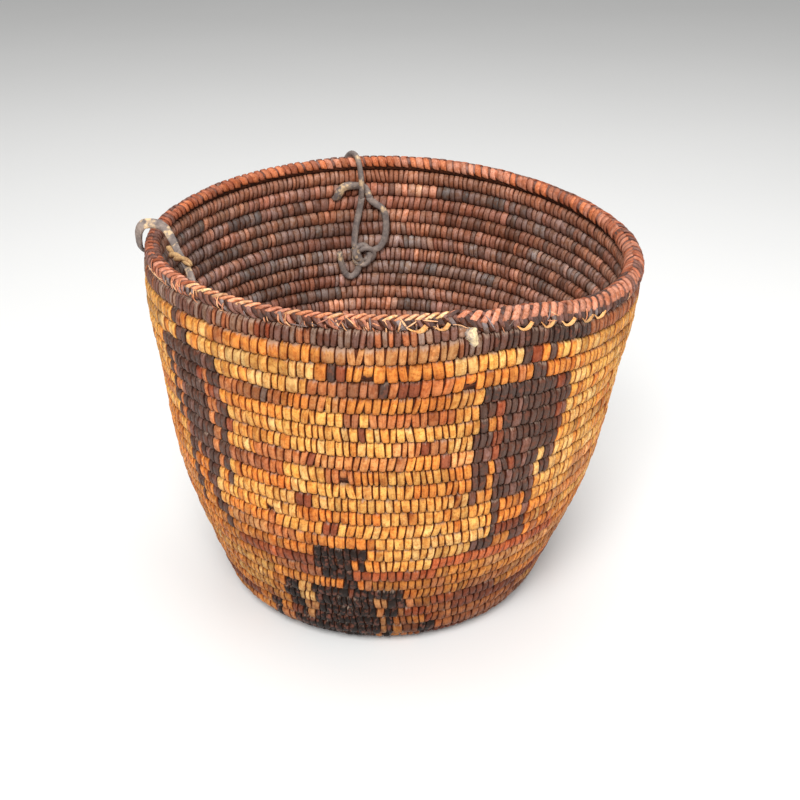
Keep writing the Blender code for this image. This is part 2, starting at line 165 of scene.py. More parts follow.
class Surface:
    """A material in the making: its shader, and ways to add the nodes that feed it."""

    def __init__(self, name, roughness, specular):
        self.material = bpy.data.materials.new(name)
        self.material.use_nodes = True
        self.tree = self.material.node_tree
        self.shader = self.tree.nodes["Principled BSDF"]
        self.shader.inputs["Roughness"].default_value = roughness
        self.shader.inputs["Specular IOR Level"].default_value = specular
        self.place = self.add("TexCoord").outputs["Object"]

    def add(self, kind, settings=(), **inputs):
        """A node with its inputs set or linked, each by its name or by an underscore and its number."""
        node = self.tree.nodes.new("ShaderNode" + kind)
        for key, value in dict(settings).items():
            setattr(node, key, value)
        for key, value in inputs.items():
            socket = node.inputs[int(key[1:])] if key[0] == "_" else node.inputs[key.replace("_", " ")]
            if isinstance(value, bpy.types.NodeSocket):
                self.tree.links.new(value, socket)
            else:
                socket.default_value = value
        return node

    def attribute(self, name, output="Fac"):
        return self.add("Attribute", {"attribute_name": name}).outputs[output]

    def noise(self, scale, detail, roughness=0.5, place=None):
        """Uneven spots from 0 to 1, over the object or over another place."""
        place = place or self.place
        node = self.add("TexNoise", Vector=place, Scale=scale, Detail=detail, Roughness=roughness)
        return node.outputs["Fac"]

    def stretch(self, value, low, high, start, end, how="LINEAR"):
        """A value's run from low to high, made to run from start to end."""
        how = {"interpolation_type": how}
        return self.add("MapRange", how, _0=value, _1=low, _2=high, _3=start, _4=end).outputs[0]

    def reckon(self, operation, *values):
        inputs = {f"_{index}": value for index, value in enumerate(values)}
        return self.add("Math", {"operation": operation}, **inputs).outputs[0]

    def blend(self, factor, first, second, way="MIX"):
        """A mix of two colours or of two sockets."""
        settings = {"data_type": "RGBA", "blend_type": way, "clamp_factor": True}
        return self.add("Mix", settings, _0=factor, _6=first, _7=second).outputs[2]

    def darken(self, factor, colour, shade):
        return self.blend(factor, colour, shade, "MULTIPLY")

    def grey(self, value):
        return self.add("CombineColor", Red=value, Green=value, Blue=value).outputs[0]

    def finish(self, relief=None, depth=0.0, **inputs):
        """Feed the shader, raise and sink the surface by that depth, and hand over the material."""
        if relief is not None:
            bump = self.add("Bump", Strength=0.6, Distance=depth, Height=relief)
            inputs["Normal"] = bump.outputs["Normal"]
        for key, value in inputs.items():
            self.tree.links.new(value, self.shader.inputs[key.replace("_", " ")])
        return self.material


def fibre_material():
    """Dry grass, seen only between the stitches; its brown is darkened with the painted shade of those gaps.
    """
    surface = Surface("foundation_fibres", 0.9, 0.2)
    strands = surface.noise(700, 3)
    shade = surface.add("ValToRGB", Fac=strands)
    for stop, position, colour in zip(shade.color_ramp.elements, (0.35, 0.7), ((40, 20, 12), (96, 50, 28))):
        stop.position = position
        stop.color = opaque(colour)
    return surface.finish(strands, 0.0004, Base_Color=shade.outputs["Color"])


def solid_mesh(name, points, faces, material):
    """A smooth-shaded piece of the object from its points and faces."""
    mesh = bpy.data.meshes.new(name)
    mesh.from_pydata(points.reshape(-1, 3).tolist(), [], faces)
    mesh.polygons.foreach_set("use_smooth", [True] * len(mesh.polygons))
    mesh.materials.append(material)
    made = bpy.data.objects.new(name, mesh)
    bpy.context.scene.collection.objects.link(made)
    return made


def point_values(mesh, name, values):
    """A value for each point of a mesh, which its material reads by that name."""
    mesh.attributes.new(name, "FLOAT", "POINT").data.foreach_set("value", values)


def face_outwards(made, weld=0.0):
    """Join a piece's points that lie within the weld, and turn its faces outwards."""
    edit = bmesh.new()
    edit.from_mesh(made.data)
    if weld:
        bmesh.ops.remove_doubles(edit, verts=edit.verts, dist=weld)
    bmesh.ops.recalc_face_normals(edit, faces=edit.faces)
    edit.to_mesh(made.data)
    edit.free()


def tube_sides(rows, round_count, closed=False):
    """The side faces of a tube of rings, which runs back into its first ring if it is closed."""
    ring = np.arange(round_count)
    following = (ring + 1) % round_count
    row = np.arange(rows if closed else rows - 1)[:, None]
    after = (row + 1) % rows
    corners = (row * round_count + ring, row * round_count + following, after * round_count + following)
    return np.stack([*corners, after * round_count + ring], axis=-1).reshape(-1, 4)


def tube_faces(rows, round_count):
    """The side faces of a tube of rings and its two end caps."""
    last = (rows - 1) * round_count
    fan = range(1, round_count - 1)
    first_cap = [[i, i + 1, 0] for i in fan]
    return tube_sides(rows, round_count).tolist() + first_cap + [[last, last + i, last + i + 1] for i in fan]


fibres = fibre_material()


def bundle(name, node, first, last, per_turn):
    """A stretch of the bundle under the stitches, flattened underneath where the basket stands on it."""
    turns = np.linspace(first, last, max(round((last - first) * per_turn), 8))
    angle = ring_angles(8)
    size = np.minimum(1, turns * COURSE_PITCH / (2.1 * BUNDLE_HALF_HEIGHT)) * thickness_at(turns)
    above = size[:, None] * BUNDLE_HALF_HEIGHT * np.sin(angle)
    rings = beside_coil(turns[:, None], above, size[:, None] * BUNDLE_HALF_DEPTH * np.cos(angle))
    rings[..., 2] = np.maximum(rings[..., 2], BUNDLE_UNDERSIDE)
    made = solid_mesh(name, rings, tube_faces(len(turns), 8), fibres)
    face_outwards(made)
    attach(made, "basket")
    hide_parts(node)


bundle("start_bundle", "start_knot", KNOT_START, KNOT_END, 40)
bundle("base_bundle", "base_coil", KNOT_END, WALL_START, 48)
bundle("wall_bundle", "wall_coil", WALL_START, TOP_START, 80)
bundle("top_bundle", "rim_coil", TOP_START, END_TURNS + TAIL_TURNS, 96)

# The start knot: a few of the same fibres, bent round each other and drawn tight. The coil is wound on
# from it, and the stitches of its first rounds hold it.
KNOT_MIDDLE = (0.0010, 0.0013, 0.0021)
KNOT_RADIUS = 0.0024
bpy.ops.mesh.primitive_uv_sphere_add(
    segments=24, ring_count=16, radius=KNOT_RADIUS, location=KNOT_MIDDLE, scale=(1, 1, 0.75)
)
start_knot = bpy.context.object
bpy.ops.object.transform_apply(location=True, scale=True)
start_knot.name = "start_knot_fibres"
for vertex in start_knot.data.vertices:
    aside = vertex.co - Vector(KNOT_MIDDLE)
    wound = math.sin(7 * math.atan2(aside.y, aside.x) + 1600 * aside.z)
    vertex.co += aside.normalized() * wound * 0.00022
bpy.ops.object.shade_smooth()
start_knot.data.materials.append(fibres)
start_knot.select_set(False)
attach(start_knot, "basket")
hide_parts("start_knot")

# The stitches: flat splints of split root, each wrapped round the bundle and down through the course
# below it. One splint sews six to sixteen stitches before the next is let in, and its colour goes with it.
# Golden, orange and brown splints make the ground, and dark dyed ones the stepped four-legged figures.

# The distance between stitches in each course from the top one down; the last one holds for the rest
STITCH_PITCHES = (0.0025, 0.0033, 0.0032, 0.0031, 0.0029, 0.0030, 0.0026, 0.0029)
STITCH_HALF_HEIGHT = 0.0033
STITCH_HALF_DEPTH = 0.0030
FIRST_STITCH = 0.2
# The usual lean of a run of stitches and of each stitch in it, in degrees, and how unevenly it stands out
SPLINT_LEAN = 4.0
STITCH_LEAN = 3.5
STITCH_UNEVENNESS = 0.00012
BROKEN_DEPTH = 0.0012
SPLINT_COLOURS = {
    "gold": (240, 180, 96),
    "pale": (246, 198, 124),
    "orange": (224, 148, 70),
    "tan": (216, 154, 96),
    "copper": (200, 130, 80),
    "russet": (192, 106, 62),
    "brown": (174, 112, 76),
    "rust": (150, 84, 56),
    "plum": (126, 92, 82),
    "grey": (150, 126, 114),
    "dark": (90, 69, 61),
    "black": (42, 32, 28),
}
# Painted shade on the lower courses: a splint's brightness in courses below the top one, darker towards the
# bottom where less light reaches
PAINTED_SHADE_BY_COURSE = ((3.5, 0.97), (5, 1.03), (13, 1.03), (18, 0.88), (24, 0.76))
# Odd stitches: from and to a chance, a stitch of that colour has another one
ODD_STITCHES = {
    "gold": ((0.0, 0.2, "pale"), (0.94, 1.0, "orange")),
    "orange": ((0.94, 1.0, "copper"),),
    "tan": ((0.94, 1.0, "gold"),),
    "copper": ((0.94, 1.0, "rust"),),
    "plum": ((0.0, 0.3, "grey"), (0.84, 0.975, "brown"), (0.975, 1.0, "rust")),
    "dark": ((0.0, 0.14, "plum"), (0.975, 1.0, "rust")),
    "black": ((0.975, 1.0, "rust"),),
}
# The ground in each course from the top one down: a colour, and others from an azimuth in degrees on
GROUND = (
    "plum  -70 dark  -44 brown  0 plum",
    "gold  -131 orange  -104 tan  -77 gold  -61.5 brown  -55 gold  60 brown  120 orange",
    "gold  -104 orange  -48 gold  80 orange",
    "gold  -106 copper  -100 brown  -90 copper  -77 gold  90 tan  140 gold",
    "gold  -130 copper  -113 orange  -106 tan  -98 orange  -77 gold  60 orange",
    "gold  -130 orange  -113 gold  -94 copper  -77 gold",
    "gold",
    "tan  -129 rust  -126 gold  -92 tan  -84 copper  -77 tan  -71 gold  50 tan  130 gold",
    "gold  -120 copper  -106 tan  -88 orange  -48 gold",
    (
        "orange  -131 brown  -117 copper  -113 gold  -104 copper  -98 orange  -90 gold"
        "  -77 orange  -48 gold  90 orange"
    ),
    "orange  -145 gold  -127 orange  -112 gold  -40 tan",
    "orange  -150 gold  -40 tan  20 gold",
    "orange  -140 gold  -112 orange  -90 gold  -66 orange  -44 tan  60 gold",
    "tan  -140 gold  -132 orange  -117 gold  -60 orange  -50 gold",
    "orange  -132 tan  -120 copper  -112 orange  -92 gold  -62 orange  60 gold",
    "orange  -94 gold  -77 russet  -40 orange",
    "orange  -132 russet  -116 rust  -94.5 gold  -77 orange  -62 tan  40 gold",
    "orange  -120 copper  -97 russet  -77 orange  60 rust",
    "gold  -120 orange  -66 copper  -50 tan  80 orange",
    "orange  -135 gold  -124 orange  -77 russet  -70 rust  -55 orange  30 gold",
    "orange  -140 gold  -124 orange  -77 copper  -68 rust  10 orange",
    "orange  -84 russet  -74 copper  -40 tan  60 orange",
    "rust  -135 orange  -77 copper  -66 brown  -30 orange",
    "orange  -124 copper  -84 brown  -71 rust  -60 brown  20 rust",
    "brown  -128 copper  -70 brown  0 rust  90 brown",
    "brown",
)
# Stray stitches: the course, from and to an azimuth, and the splint's colour
STRAY_STITCHES = (
    (0, -116.0, -114.4, "rust"),
    (1, -58.2, -56.6, "orange"),
    (1, -56.6, -55.0, "dark"),
    (2, -103.2, -101.1, "dark"),
    (2, -101.1, -99.6, "rust"),
    (3, -118.4, -113.8, "pale"),
    (3, -93.0, -90.2, "dark"),
    (4, -118.0, -116.6, "plum"),
    (5, -99.2, -96.8, "brown"),
    (6, -96.0, -94.8, "rust"),
    (8, -79.3, -77.0, "rust"),
    (11, -110.2, -107.8, "rust"),
    (13, -104.2, -102.0, "rust"),
)
# Stitches whose splint has broken away below and shows the bundle: the course, from and to an azimuth
BROKEN_STITCHES = ((2, -96.2, -94.2), (9, -100.8, -99.0), (2, -74.0, -72.6), (12, -119.4, -118.0))
# A figure's blocks: first and last course, degrees left and right of its middle, and splint colour. A
# later block lies over an earlier one.
HIGH_FIGURE = (
    (1, 1, -3.0, 5.0, "dark"),
    (1, 1, -0.6, 1.2, "rust"),
    (2, 2, -0.6, 3.4, "dark"),
    (3, 10, -11.6, 11.4, "dark"),
    (4, 4, -8.6, -6.2, "rust"),
    (5, 5, -8.9, -5.6, "orange"),
    (6, 7, -8.0, -5.4, "rust"),
    (8, 9, -8.2, -5.4, "orange"),
    (7, 7, 6.4, 8.0, "orange"),
    (8, 9, 5.8, 7.6, "gold"),
    (9, 9, 9.6, 11.4, "gold"),
    (10, 10, -10.2, -8.4, "orange"),
    (10, 10, -6.8, -5.0, "orange"),
    (10, 10, 5.6, 11.4, "gold"),
    (11, 14, -11.6, 11.4, "ground"),
    (11, 13, -4.9, -2.2, "dark"),
    (14, 14, -8.0, -3.4, "dark"),
    (11, 13, -2.2, 4.2, "orange"),
    (13, 13, -2.2, 4.2, "rust"),
    (11, 13, 4.2, 7.0, "dark"),
    (14, 14, 3.2, 7.2, "dark"),
)
LEFT_FIGURE = (
    (1, 1, -5.4, -3.6, "dark"),
    (1, 1, -3.6, -1.6, "brown"),
    (2, 2, -2.2, 0.4, "dark"),
    (3, 10, -10.4, 10.6, "dark"),
    (4, 9, -8.3, -6.5, "copper"),
    (4, 10, 5.5, 7.4, "copper"),
    (9, 10, -10.4, -7.0, "gold"),
    (10, 10, -3.0, -1.2, "orange"),
    (11, 14, -10.4, 12.0, "ground"),
    (11, 11, 6.2, 8.4, "orange"),
    (11, 11, 8.4, 10.8, "dark"),
    (11, 14, -6.6, -4.0, "dark"),
    (11, 13, -4.0, 0.4, "orange"),
    (11, 13, 0.4, 4.2, "dark"),
    (14, 14, 1.6, 6.4, "dark"),
    (15, 15, 4.4, 6.2, "dark"),
)
LOW_FIGURE = (
    (15, 15, -6.0, 8.0, "black"),
    (16, 16, -6.0, 7.5, "black"),
    (16, 16, 3.4, 4.9, "orange"),
    (16, 17, -9.6, -6.0, "rust"),
    (17, 17, -8.0, 5.0, "black"),
    (17, 17, -9.0, -3.4, "brown"),
    (18, 18, -18.0, 18.0, "orange"),
    (18, 18, 0.2, 4.0, "black"),
    (19, 24, -18.0, 18.0, "black"),
    (19, 20, -12.9, -8.6, "pale"),
    (21, 21, -12.0, -7.4, "tan"),
    (22, 22, -11.7, -9.0, "tan"),
    (20, 20, 10.0, 12.9, "tan"),
    (21, 21, 9.8, 12.2, "tan"),
    (22, 24, 10.8, 13.2, "tan"),
    (21, 21, 16.0, 18.0, "tan"),
    (22, 24, 15.4, 18.0, "orange"),
    (22, 24, -27.0, -22.0, "black"),
    (22, 23, 25.0, 30.0, "black"),
)
# Each figure's middle in degrees
FIGURES = (
    (-59.5, HIGH_FIGURE),
    (30.0, HIGH_FIGURE),
    (122.0, HIGH_FIGURE),
    (-139.0, LEFT_FIGURE),
    (-102.0, LOW_FIGURE),
    (20.0, LOW_FIGURE),
    (142.0, LOW_FIGURE),
)
INSIDE_COLOURS = (
    (176, 122, 101),
    (162, 109, 92),
    (143, 117, 108),
    (184, 130, 105),
    (133, 119, 114),
    (154, 117, 106),
)
TOP_INSIDE = (190, 130, 102)
DARK_INSIDE = (120, 98, 90)


def ground_colour(course, azimuth):
    name, *changes = GROUND[course].split()
    for start, colour in zip(changes[::2], changes[1::2]):
        if azimuth >= float(start):
            name = colour
    return name


def stitch_colour(course, azimuth):
    """The colour's name at a place on the wall: a figure's block if one covers it, or else the ground."""
    name = ground_colour(course, azimuth)
    for middle, figure in FIGURES:
        aside = within_half_turn(azimuth - middle)
        for first, last, left, right, colour in figure:
            if first <= course <= last and left <= aside < right:
                name = ground_colour(course, azimuth) if colour == "ground" else colour
    for stray_course, left, right, colour in STRAY_STITCHES:
        if course == stray_course and left <= azimuth < right:
            name = colour
    return name


def odd_colour(name, chance):
    for low, high, other in ODD_STITCHES.get(name, ()):
        if low <= chance < high:
            return other
    return name


def stitch_places(first, last, rng):
    """The middles of the stitches on a stretch of the bundle and half their widths, in turns."""
    fine = np.linspace(first, last, round((last - first) * 720) + 8)
    steps = np.linalg.norm(np.diff(beside_coil(fine), axis=0), axis=1)
    course = np.clip(END_TURNS - fine[1:], 0, len(STITCH_PITCHES) - 1).astype(int)
    counted = np.append(0, np.cumsum(steps / np.array(STITCH_PITCHES)[course]))
    count = round(counted[-1])
    run = np.repeat(rng.uniform(0.9, 1.1, count), rng.integers(9, 40, count))[:count]
    widths = run * np.clip(rng.lognormal(0, 0.15, count), 0.7, 1.6)
    edges = np.append(0, np.cumsum(widths)) * counted[-1] / widths.sum()
    edges = np.interp(edges, counted, fine)
    return (edges[1:] + edges[:-1]) / 2, (edges[1:] - edges[:-1]) / 2


def flat_strip(steps):
    """A flat strip 5 points across and that many steps along, with its pattern's place at each corner."""
    bpy.ops.mesh.primitive_grid_add(x_subdivisions=4, y_subdivisions=steps, size=2)
    strip = bpy.context.object
    points = np.array([vertex.co for vertex in strip.data.vertices])
    faces = np.array([polygon.vertices for polygon in strip.data.polygons])
    pattern = np.array([corner.uv for corner in strip.data.uv_layers[0].data])
    bpy.data.objects.remove(strip)
    return points, faces, pattern


def round_splint():
    """A splint before it is wrapped, 14 points round, its last row of points made one with its first."""
    points, faces, pattern = flat_strip(14)
    keep = points[:, 1] < 0.999
    new_index = np.cumsum(keep) - 1
    start = {round(point[0], 3): index for index, point in enumerate(points) if point[1] < -0.999}
    for index in np.flatnonzero(~keep):
        new_index[index] = new_index[start[round(points[index][0], 3)]]
    return points[keep], new_index[faces], pattern


def splint_material():
    """Split root: satin, with a fine grain along the splint, painted shade in its edges and frayed grey
    tops.
    """
    surface = Surface("sewing_splints", 0.5, 0.17)
    # Each point's dye, with the painted light and shade of the stitches and straps multiplied in
    dye_and_painted_shade = surface.attribute("dye_and_painted_shade", "Color")
    place = surface.add("SeparateXYZ", Vector=surface.add("UVMap").outputs["UV"])
    across, along = place.outputs["X"], place.outputs["Y"]
    grain_place = surface.add(
        "CombineXYZ",
        X=surface.reckon("MULTIPLY", across, 7),
        Y=surface.reckon("MULTIPLY", along, 5),
        Z=surface.reckon("MULTIPLY", surface.attribute("chance"), 83),
    )
    grain = surface.noise(1, 3, 0.6, grain_place.outputs[0])
    flecks = surface.noise(1300, 3, 0.65)
    stains = surface.noise(420, 3, 0.6)
    grime = surface.noise(38, 5, 0.6)
    colour = surface.darken(1, dye_and_painted_shade, surface.grey(surface.stretch(grain, 0.3, 0.7, 0.66, 1.12)))
    colour = surface.darken(surface.stretch(stains, 0.46, 0.6, 0, 0.8), colour, (0.74, 0.55, 0.38, 1))
    colour = surface.darken(surface.stretch(flecks, 0.55, 0.66, 0, 0.6), colour, (0.48, 0.28, 0.16, 1))
    colour = surface.darken(surface.stretch(grime, 0.48, 0.66, 0, 0.6), colour, (0.72, 0.52, 0.38, 1))
    # A dark dyed splint shows its red-brown root where it is rubbed
    dark = surface.stretch(surface.add("SeparateColor", Color=dye_and_painted_shade).outputs[0], 0.06, 0.2, 0.45, 0)
    rubbed = surface.reckon("MULTIPLY", dark, surface.stretch(stains, 0.5, 0.62, 0, 1))
    colour = surface.blend(rubbed, colour, opaque((140, 84, 66)))
    # The frayed grey top of a splint
    ragged = surface.reckon("MULTIPLY_ADD", grain, 0.34, along)
    ragged = surface.reckon("MULTIPLY_ADD", surface.attribute("fray"), 0.13, ragged)
    colour = surface.blend(surface.stretch(ragged, 1.10, 1.18, 0, 0.6), colour, opaque((172, 146, 128)))
    # Painted shade from the middle of the splint's width to its edge, where it meets its neighbours, fuller
    # over one half of its length
    aside = surface.reckon("ABSOLUTE", surface.reckon("SUBTRACT", across, 0.5))
    edge = surface.stretch(aside, 0.22, 0.42, 0, 1, "SMOOTHSTEP")
    edge = surface.reckon("MULTIPLY", edge, surface.stretch(along, 0.46, 0.56, 0.6, 1))
    colour = surface.darken(edge, colour, (0.3, 0.13, 0.07, 1))
    relief = surface.reckon("MULTIPLY_ADD", flecks, 0.5, grain)
    rough = surface.stretch(flecks, 0.3, 0.7, 0.38, 0.6)
    return surface.finish(relief, 0.00025, Base_Color=colour, Roughness=rough)


splints = splint_material()
splint_points, splint_faces, splint_pattern = round_splint()


def splint_piece(name, nodes, points, faces, pattern, dye_and_painted_shade, chance, fray=0.0):
    """One piece of the basket from many splints, each with its dye and painted light and shade, its chance
    number and its fraying.
    """
    count, size = points.shape[:2]
    all_faces = (faces[None] + (np.arange(count) * size)[:, None, None]).reshape(-1, faces.shape[1])
    made = solid_mesh(name, points, all_faces.tolist(), splints)
    mesh = made.data
    layer = mesh.uv_layers.new(name="splint")
    layer.data.foreach_set("uv", np.tile(pattern, (count, 1)).astype(np.float32).ravel())
    dye_and_painted_shade = np.concatenate([dye_and_painted_shade, np.ones((count, size, 1))], axis=-1)
    dyed = mesh.color_attributes.new("dye_and_painted_shade", "FLOAT_COLOR", "POINT")
    dyed.data.foreach_set("color", dye_and_painted_shade.astype(np.float32).ravel())
    for attribute, values in (("chance", chance), ("fray", np.broadcast_to(fray, count))):
        point_values(mesh, attribute, np.repeat(values, size).astype(np.float32))
    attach(made, "basket")
    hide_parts(*nodes)


def sew(name, nodes, places, outside, inside, rng, slot):
    """Stitches wrapped round the bundle at these places, in their own colours outside and inside."""
    turns, half_widths = (values[:, None] for values in places)
    count = len(turns)
    across, roundwise = splint_points[:, 0], splint_points[:, 1]
    middle, edge = np.abs(across) < 0.4, np.abs(across) > 0.9
    angle = math.pi * (roundwise - 0.5)
    # It lies square on the outside and rounder on the inside, with its edges tucked in against the bundle
    front = np.cos(angle) > 0
    square = np.where(front, 0.62, 0.9)
    rise = np.sign(np.sin(angle)) * np.abs(np.sin(angle)) ** square
    reach = np.sign(np.cos(angle)) * np.abs(np.cos(angle)) ** square
    notch = np.clip((rise - 0.5) / 0.4, 0, 1) * front
    edge_lift = np.where(front, -0.0006, -0.0003)
    lift = np.where(edge, edge_lift, np.where(middle, 0.0002 - 0.0006 * notch, 0.00008))
    courses = turns - FLAT_TURNS
    radius = np.where(courses > 0, np.interp(courses, profile_courses, profile_radii), turns * COURSE_PITCH)
    metre = 1 / (2 * math.pi * np.maximum(radius, 0.002))
    bevel = np.where(edge, 0.00010, 0.00042) * metre
    aside = np.sign(across) * np.where(middle, 0, np.maximum(half_widths - bevel, 0.5 * half_widths))
    aside = aside * (1 - np.where(front, np.where(rise > 0, 0.04, 0.26), 0.06) * np.abs(rise) ** 6)
    course = np.clip(END_TURNS - turns, 0, 34).astype(int)[:, 0]
    azimuth = within_half_turn(np.degrees(azimuth_at(turns[:, 0])))
    lean = np.repeat(rng.normal(0, SPLINT_LEAN, count), rng.integers(5, 24, count))[:count]
    lean = lean + rng.normal(0, STITCH_LEAN, count)
    proud = rng.normal(0, STITCH_UNEVENNESS, count)[:, None]
    thickness = thickness_at(turns)
    tall = STITCH_HALF_HEIGHT * rng.uniform(0.955, 1.03, count)[:, None] * thickness
    above = (tall + lift + proud) * rise
    out = (STITCH_HALF_DEPTH * thickness + proud + lift) * reach
    broken = np.zeros(count, bool)
    for broken_course, left, right in BROKEN_STITCHES:
        broken |= (course == broken_course) & (azimuth >= left) & (azimuth < right)
    gone = broken[:, None] & (front & (rise < -0.1))[None]
    out = np.where(gone, out - BROKEN_DEPTH, out)
    moved = turns + aside + np.tan(np.radians(lean))[:, None] * above * metre
    inward = np.minimum(1, turns * COURSE_PITCH / STITCH_HALF_HEIGHT * 0.94)
    above = np.where(above < 0, above * inward, above)
    points = beside_coil(moved, above, out)
    points[..., 2] = np.maximum(points[..., 2], STITCH_UNDERSIDE)
    face_out = np.clip(0.5 + reach * 1.6, 0, 1)[None, :, None]
    # Painted light and shade over each splint: it is darker and redder towards one end and one side, painted
    # shade darkens both its ends in the grooves between courses and the notch at its top, and the part of a
    # broken splint that is left is painted dark
    shade = 1 + rng.normal(0.07, 0.08, (count, 1)) * rise + rng.normal(0.03, 0.08, (count, 1)) * across
    shade = shade * (1 - 0.45 * np.clip((np.abs(rise) - 0.8) / 0.2, 0, 1)) * (1 - 0.3 * notch * middle)
    shade = np.where(gone, 0.28, np.clip(shade, 0.3, 1.08))[..., None] ** np.array([1, 1.3, 1.6])
    # Painted light on the inside: each stitch is lighter and greyer towards its top, and darker and redder
    # towards its bottom
    inside_painted_light = np.clip(1 + (0.22 * rise - 0.02) * (reach < 0), 0.5, 1.3)[:, None] ** np.array([1, 1.5, 1.7])
    # The colour kept at each point: the dye times the painted light and shade
    dye_and_painted_shade = (outside[:, None] * face_out + inside[:, None] * (1 - face_out)) * shade * inside_painted_light
    fray = np.clip(np.abs(rng.normal(0, 0.35, count)), 0, 0.7)
    fray = fray + np.where(course == 0, rng.uniform(0.1, 0.8, count), 0)
    frayed = (course == 1) & (azimuth > -126) & (azimuth < -77)
    fray = fray + np.where(frayed, rng.uniform(0.0, 0.8, count), 0)
    worst = (course == 1) & (azimuth > -101) & (azimuth < -97.6)
    fray = fray + np.where(worst, 0.9, 0)
    splint_piece(name, nodes, points, splint_faces, splint_pattern, dye_and_painted_shade, rng.random(count), fray)


def splint_runs(count, rng):
    """Which splint sews each stitch: a run of six to sixteen stitches has the same one."""
    lengths = rng.integers(6, 17, count)
    return np.repeat(np.arange(count), lengths)[:count]


def stitch_colours(turns, rng):
    """Each stitch's colour outside and inside: its splint's own tone and a little of its own, with painted
    shade on the lower courses outside.
    """
    runs = splint_runs(len(turns), rng)
    tone = rng.normal(0, 0.055, runs.max() + 1)[runs] + rng.normal(0, 0.055, len(turns))
    warmth = np.abs(rng.normal(0, 0.07, runs.max() + 1)[runs] + rng.normal(0, 0.05, len(turns)))
    odd = rng.random(len(turns))
    outside = np.zeros((len(turns), 3))
    back = END_TURNS - turns
    for index, (turn, behind) in enumerate(zip(turns, back)):
        azimuth = within_half_turn(END_DEGREES - 360 * (behind % 1))
        name = stitch_colour(int(behind), azimuth) if turn > FLAT_TURNS else "brown"
        colour = np.array(SPLINT_COLOURS[odd_colour(name, odd[index])], float)
        outside[index] = colour * np.interp(behind, *np.array(PAINTED_SHADE_BY_COURSE).T)
    darkness = np.clip((110 - outside[:, 0]) / 50, 0, 1)[:, None]
    spread = (1 + tone[:, None]) * (1 - warmth[:, None] * np.array([0, 0.5, 1.0]))
    outside = outside * np.clip(spread, 0.5, 248 / outside[:, :1])
    palette = np.array(INSIDE_COLOURS, float)
    pick = rng.integers(0, len(palette), runs.max() + 1)[runs]
    own_pick = rng.integers(0, len(palette), len(turns))
    inside = (palette[pick] * 0.55 + palette[own_pick] * 0.45) * (1 + 1.6 * tone[:, None])
    darkness = darkness * np.where(back > 1, 0.6, 0)[:, None]
    inside = inside * (1 - darkness) + np.array(DARK_INSIDE) * (1 + tone[:, None]) * darkness
    inside = np.where((back < 1)[:, None], inside * 0.5 + 0.5 * np.array(TOP_INSIDE), inside)
    return linear(np.clip(outside, 0, 250)), linear(np.clip(inside, 0, 250))


sewing = np.random.default_rng(11)
start_places = stitch_places(FIRST_STITCH, KNOT_END, sewing)
start_colours = stitch_colours(start_places[0], sewing)
sew("start_stitches", ["start_knot"], start_places, *start_colours, sewing, "base_splints")
base_places = stitch_places(KNOT_END, WALL_START, sewing)
base_colours = stitch_colours(base_places[0], sewing)
sew("base_stitches", ["base_coil"], base_places, *base_colours, sewing, "base_splints")
wall_places = stitch_places(WALL_START, TOP_START, sewing)
wall_colours = stitch_colours(wall_places[0], sewing)
for band, part in zip(("low", "middle", "high"), np.array_split(np.arange(len(wall_places[0])), 3)):
    band_places = [values[part] for values in wall_places]
    band_colours = [values[part] for values in wall_colours]
    sew("wall_stitches_" + band, ["wall_coil"], band_places, *band_colours, sewing, "wall_splints")
top_places = stitch_places(TOP_START, END_TURNS + TAIL_TURNS, sewing)
top_colours = stitch_colours(top_places[0], sewing)
sew("top_course_stitches", ["rim_coil"], top_places, *top_colours, sewing, "dark_splints")

# The rim: a false braid of flat splints plaited over the top course, so that they lie in two slanting
# rows which meet in a zigzag. It is plump right of the worn tie, and drawn tight and smooth at the back.
RIM_RADII = ((0.0, 0.0023), (0.25, 0.0030), (0.5, 0.0031), (0.78, 0.0040), (1.0, 0.0033))
RIM_STEP = 6 / 360
RIM_LENGTH = 0.61
BRAID_RADIUS = 0.0035
COIL_RADIUS = 0.00265
PLAIT_COUNT = 164
PLAIT_CROWN = 0.00042
RIM_COLOURS = {
    "peach": (228, 160, 122),
    # worn: pale cream, for splints worn pale and for painted highlights on the braid and its slivers
    "worn": (244, 190, 144),
    "pink": (204, 138, 112),
    "rose": (216, 150, 122),
    "coral": (212, 130, 90),
    "clay": (176, 106, 78),
    "plum": (136, 98, 88),
    "stone": (138, 124, 122),
    "shadow": (90, 68, 62),
}
# The colours found in each row of the braid from an azimuth in degrees on
UNDER_ROW = ((-180, "shadow plum"), (-77, "shadow shadow plum"), (10, "plum clay"))
LOWER_ROW = (
    (-180, "clay plum"),
    (-152, "plum stone pink"),
    (-124, "plum shadow pink stone"),
    (-77, "shadow shadow plum stone"),
    (-30, "plum clay"),
    (10, "clay plum"),
)
UPPER_ROW = (
    (-180, "clay clay plum"),
    (-158, "pink clay rose"),
    (-138, "peach peach worn rose"),
    (-84, "worn pink shadow"),
    (-77, "pink rose rose"),
    (-30, "clay pink plum"),
    (10, "clay plum"),
)
INNER_ROW = (
    (-180, "clay plum"),
    (-140, "clay pink"),
    (-77, "clay shadow"),
    (-20, "pink clay"),
    (20, "clay coral pink"),
    (62, "rose coral pink"),
    (112, "coral coral clay"),
    (166, "clay plum"),
)


